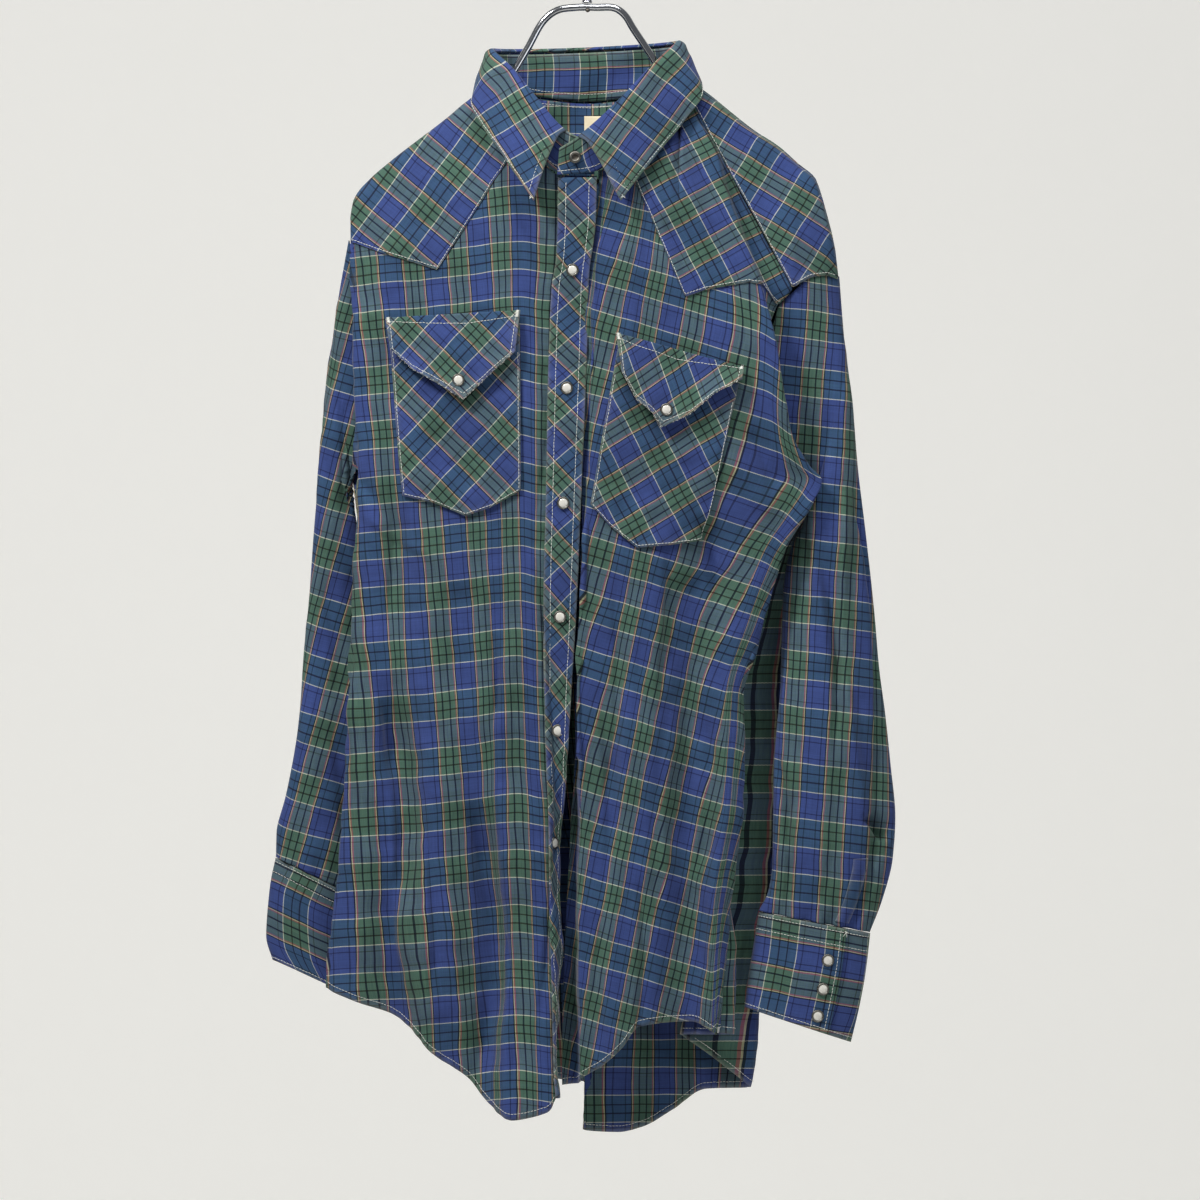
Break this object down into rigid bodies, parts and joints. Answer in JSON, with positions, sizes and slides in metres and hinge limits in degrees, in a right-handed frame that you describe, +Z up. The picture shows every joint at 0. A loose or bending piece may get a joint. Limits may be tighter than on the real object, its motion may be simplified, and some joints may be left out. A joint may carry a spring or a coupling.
{
  "type": "western snap shirt on hanger",
  "caption": "Long-sleeved western snap shirt in a woven plaid, with pointed yokes and flap pockets on the bias, hanging open at the neck on a slim bent hanger with a hook.",
  "frame": {"origin": "inner top of the hanger's hook, where a rail carries it", "axes": "+Z up, +X towards the shirt's own left (the viewer's right), the shirt's front faces -Y"},
  "size_m": [0.5049, 0.1221, 0.9695],
  "materials": {
    "plaid": "fine woven cotton plaid, straight grain",
    "bias_plaid": "the same cotton plaid cut on the bias",
    "label": "blank woven label",
    "pearl": "pearl cap in a thin metal rim",
    "chrome": "polished"
  },
  "bodies": {
    "root": {"right_front": "plaid", "left_front": "plaid", "right_front_yoke": "bias_plaid", "left_front_yoke": "bias_plaid", "back": "plaid", "back_yoke": "bias_plaid", "right_sleeve": "plaid", "left_sleeve": "plaid", "right_cuff": "plaid", "left_cuff": "plaid", "collar_stand": "bias_plaid", "collar_leaf": "plaid", "front_placket": "bias_plaid", "right_pocket": "bias_plaid", "right_pocket_flap": "bias_plaid", "left_pocket": "bias_plaid", "left_pocket_flap": "bias_plaid", "neck_label": "label", "right_sleeve_placket": "plaid", "left_sleeve_placket": "plaid", "hanger_bar": "chrome", "hook_ferrule": "chrome", "hook": "chrome", "front_snap_1": "pearl", "front_snap_2": "pearl", "front_snap_3": "pearl", "front_snap_4": "pearl", "front_snap_5": "pearl", "front_snap_6": "pearl", "right_flap_snap": "pearl", "left_flap_snap": "pearl", "neck_snap": "pearl", "left_cuff_snap_1": "pearl", "left_cuff_snap_2": "pearl", "left_cuff_snap_3": "pearl", "right_cuff_snap_1": "pearl", "right_cuff_snap_2": "pearl", "right_cuff_snap_3": "pearl"}
  },
  "joints": []
}
